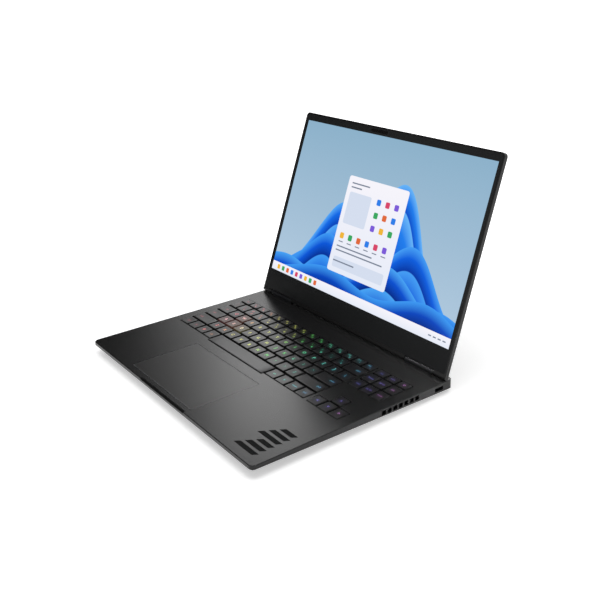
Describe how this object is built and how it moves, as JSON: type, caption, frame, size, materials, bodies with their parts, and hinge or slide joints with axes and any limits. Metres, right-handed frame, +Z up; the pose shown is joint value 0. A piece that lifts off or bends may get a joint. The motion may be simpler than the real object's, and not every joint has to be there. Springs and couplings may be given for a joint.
{
  "type": "laptop computer",
  "caption": "Laptop computer with a thin wedge-shaped base, a full keyboard beside a navigation block, a wide touchpad and a display lid on friction hinges.",
  "frame": {"origin": "on the desk, at the middle of the footprint of the laptop with its lid open at rest", "axes": "+X runs along the hinge to the user's right, +Y runs from the front edge to the hinge, +Z is up; the feet stand on Z = 0"},
  "size_m": [0.3574, 0.3478, 0.2622],
  "materials": {
    "deck_coat": "dark grey satin coat",
    "cover_coat": "dark grey satin coat",
    "lid_coat": "dark grey satin coat",
    "hinge_coat": "satin black coat",
    "arm_steel": "stamped and brushed",
    "screw_steel": "blackened",
    "plate_steel": "matt black",
    "bracket_steel": "stamped sheet",
    "key_plastic": "satin coated",
    "pad_film": "satin smooth",
    "foot_rubber": "matt",
    "bezel_plastic": "fine grained",
    "display_film": "anti-glare film over a lit picture",
    "camera_window": "glossy black",
    "ribbon_film": "smooth",
    "board_laminate": "solder-masked",
    "card_laminate": "solder-masked",
    "chip_resin": "moulded",
    "pipe_copper": "flattened copper tube",
    "fin_copper": "thin copper sheet",
    "fan_plastic": "moulded",
    "rotor_plastic": "moulded",
    "battery_wrap": "film wrapped",
    "speaker_plastic": "moulded",
    "socket_steel": "bright plated",
    "socket_plastic": "moulded"
  },
  "bodies": {
    "base": {"top_case": "deck_coat", "bottom_cover": "cover_coat", "front_foot": "foot_rubber", "rear_foot": "foot_rubber", "cover_screws": "screw_steel", "keyboard_plate": "plate_steel", "touchpad_bracket": "bracket_steel", "circuit_boards": "board_laminate", "chip_packages": "chip_resin", "heat_pipe": "pipe_copper", "left_fin_stack": "fin_copper", "right_fin_stack": "fin_copper", "left_fan_housing": "fan_plastic", "right_fan_housing": "fan_plastic", "battery_pack": "battery_wrap", "storage_drive": "card_laminate", "memory_modules": "card_laminate", "wireless_card": "card_laminate", "left_speaker": "speaker_plastic", "right_speaker": "speaker_plastic", "right_usb_socket": "socket_steel", "power_inlet": "socket_plastic", "video_socket": "socket_steel", "left_usb_socket": "socket_steel", "small_usb_sockets": "socket_steel", "audio_jack": "socket_plastic", "left_hinge_bracket": "hinge_coat", "right_hinge_bracket": "hinge_coat"},
    "lid": {"lid_cover": "lid_coat", "display_bezel": "bezel_plastic", "display_panel": "display_film", "camera_module": "camera_window", "left_hinge_arm": "arm_steel", "right_hinge_arm": "arm_steel", "display_cable": "ribbon_film"},
    "left_fan": {"left_fan_rotor": "rotor_plastic"},
    "right_fan": {"right_fan_rotor": "rotor_plastic"},
    "touchpad": {"touchpad": "pad_film"},
    "function_keys": {"function_keys": "key_plastic"},
    "number_keys": {"number_keys": "key_plastic"},
    "upper_letter_keys": {"upper_letter_keys": "key_plastic"},
    "home_letter_keys": {"home_letter_keys": "key_plastic"},
    "lower_letter_keys": {"lower_letter_keys": "key_plastic"},
    "left_modifier_keys": {"left_modifier_keys": "key_plastic"},
    "right_modifier_keys": {"right_modifier_keys": "key_plastic"},
    "navigation_keys": {"navigation_keys": "key_plastic"},
    "power_key": {"power_key": "key_plastic"},
    "backspace_key": {"backspace_key": "key_plastic"},
    "tab_key": {"tab_key": "key_plastic"},
    "caps_lock_key": {"caps_lock_key": "key_plastic"},
    "enter_key": {"enter_key": "key_plastic"},
    "left_shift_key": {"left_shift_key": "key_plastic"},
    "right_shift_key": {"right_shift_key": "key_plastic"},
    "space_bar": {"space_bar": "key_plastic"},
    "escape_key": {"escape_key": "key_plastic"},
    "arrow_up_key": {"arrow_up_key": "key_plastic"},
    "arrow_down_key": {"arrow_down_key": "key_plastic"},
    "arrow_left_key": {"arrow_left_key": "key_plastic"},
    "arrow_right_key": {"arrow_right_key": "key_plastic"}
  },
  "joints": [
    {"name": "lid_hinge", "type": "hinge", "parent": "base", "child": "lid", "pos_m": [0, 0.08552, 0.0187], "axis": [-1, 0, 0], "range_deg": [-109.5, 40.5]},
    {"name": "left_fan_spin", "type": "hinge", "parent": "base", "child": "left_fan", "pos_m": [-0.105, 0.03812, 0.0058], "axis": [0, 0, 1], "continuous": true},
    {"name": "right_fan_spin", "type": "hinge", "parent": "base", "child": "right_fan", "pos_m": [0.105, 0.03812, 0.0058], "axis": [0, 0, 1], "continuous": true},
    {"name": "touchpad_press", "type": "hinge", "parent": "base", "child": "touchpad", "pos_m": [-0.0182, -0.08148, 0.0133], "axis": [1, 0, 0], "range_deg": [0, 0.33], "stiffness_Nm_per_rad": 60, "springref_deg": -0.11},
    {"name": "function_keys_press", "type": "slide", "parent": "base", "child": "function_keys", "axis": [0, 0, -1], "range_m": [0, 0.0015], "stiffness_N_per_m": 1200, "springref_m": -0.0004},
    {"name": "number_keys_press", "type": "slide", "parent": "base", "child": "number_keys", "axis": [0, 0, -1], "range_m": [0, 0.0015], "stiffness_N_per_m": 1200, "springref_m": -0.0004},
    {"name": "upper_letter_keys_press", "type": "slide", "parent": "base", "child": "upper_letter_keys", "axis": [0, 0, -1], "range_m": [0, 0.0015], "stiffness_N_per_m": 1200, "springref_m": -0.0004},
    {"name": "home_letter_keys_press", "type": "slide", "parent": "base", "child": "home_letter_keys", "axis": [0, 0, -1], "range_m": [0, 0.0015], "stiffness_N_per_m": 1200, "springref_m": -0.0004},
    {"name": "lower_letter_keys_press", "type": "slide", "parent": "base", "child": "lower_letter_keys", "axis": [0, 0, -1], "range_m": [0, 0.0015], "stiffness_N_per_m": 1200, "springref_m": -0.0004},
    {"name": "left_modifier_keys_press", "type": "slide", "parent": "base", "child": "left_modifier_keys", "axis": [0, 0, -1], "range_m": [0, 0.0015], "stiffness_N_per_m": 1200, "springref_m": -0.0004},
    {"name": "right_modifier_keys_press", "type": "slide", "parent": "base", "child": "right_modifier_keys", "axis": [0, 0, -1], "range_m": [0, 0.0015], "stiffness_N_per_m": 1200, "springref_m": -0.0004},
    {"name": "navigation_keys_press", "type": "slide", "parent": "base", "child": "navigation_keys", "axis": [0, 0, -1], "range_m": [0, 0.0015], "stiffness_N_per_m": 1200, "springref_m": -0.0004},
    {"name": "power_key_press", "type": "slide", "parent": "base", "child": "power_key", "axis": [0, 0, -1], "range_m": [0, 0.0015], "stiffness_N_per_m": 400, "springref_m": -0.0004},
    {"name": "backspace_key_press", "type": "slide", "parent": "base", "child": "backspace_key", "axis": [0, 0, -1], "range_m": [0, 0.0015], "stiffness_N_per_m": 400, "springref_m": -0.0004},
    {"name": "tab_key_press", "type": "slide", "parent": "base", "child": "tab_key", "axis": [0, 0, -1], "range_m": [0, 0.0015], "stiffness_N_per_m": 400, "springref_m": -0.0004},
    {"name": "caps_lock_key_press", "type": "slide", "parent": "base", "child": "caps_lock_key", "axis": [0, 0, -1], "range_m": [0, 0.0015], "stiffness_N_per_m": 400, "springref_m": -0.0004},
    {"name": "enter_key_press", "type": "slide", "parent": "base", "child": "enter_key", "axis": [0, 0, -1], "range_m": [0, 0.0015], "stiffness_N_per_m": 400, "springref_m": -0.0004},
    {"name": "left_shift_key_press", "type": "slide", "parent": "base", "child": "left_shift_key", "axis": [0, 0, -1], "range_m": [0, 0.0015], "stiffness_N_per_m": 400, "springref_m": -0.0004},
    {"name": "right_shift_key_press", "type": "slide", "parent": "base", "child": "right_shift_key", "axis": [0, 0, -1], "range_m": [0, 0.0015], "stiffness_N_per_m": 400, "springref_m": -0.0004},
    {"name": "space_bar_press", "type": "slide", "parent": "base", "child": "space_bar", "axis": [0, 0, -1], "range_m": [0, 0.0015], "stiffness_N_per_m": 400, "springref_m": -0.0004},
    {"name": "escape_key_press", "type": "slide", "parent": "base", "child": "escape_key", "axis": [0, 0, -1], "range_m": [0, 0.0015], "stiffness_N_per_m": 400, "springref_m": -0.0004},
    {"name": "arrow_up_key_press", "type": "slide", "parent": "base", "child": "arrow_up_key", "axis": [0, 0, -1], "range_m": [0, 0.0015], "stiffness_N_per_m": 400, "springref_m": -0.0004},
    {"name": "arrow_down_key_press", "type": "slide", "parent": "base", "child": "arrow_down_key", "axis": [0, 0, -1], "range_m": [0, 0.0015], "stiffness_N_per_m": 400, "springref_m": -0.0004},
    {"name": "arrow_left_key_press", "type": "slide", "parent": "base", "child": "arrow_left_key", "axis": [0, 0, -1], "range_m": [0, 0.0015], "stiffness_N_per_m": 400, "springref_m": -0.0004},
    {"name": "arrow_right_key_press", "type": "slide", "parent": "base", "child": "arrow_right_key", "axis": [0, 0, -1], "range_m": [0, 0.0015], "stiffness_N_per_m": 400, "springref_m": -0.0004}
  ]
}
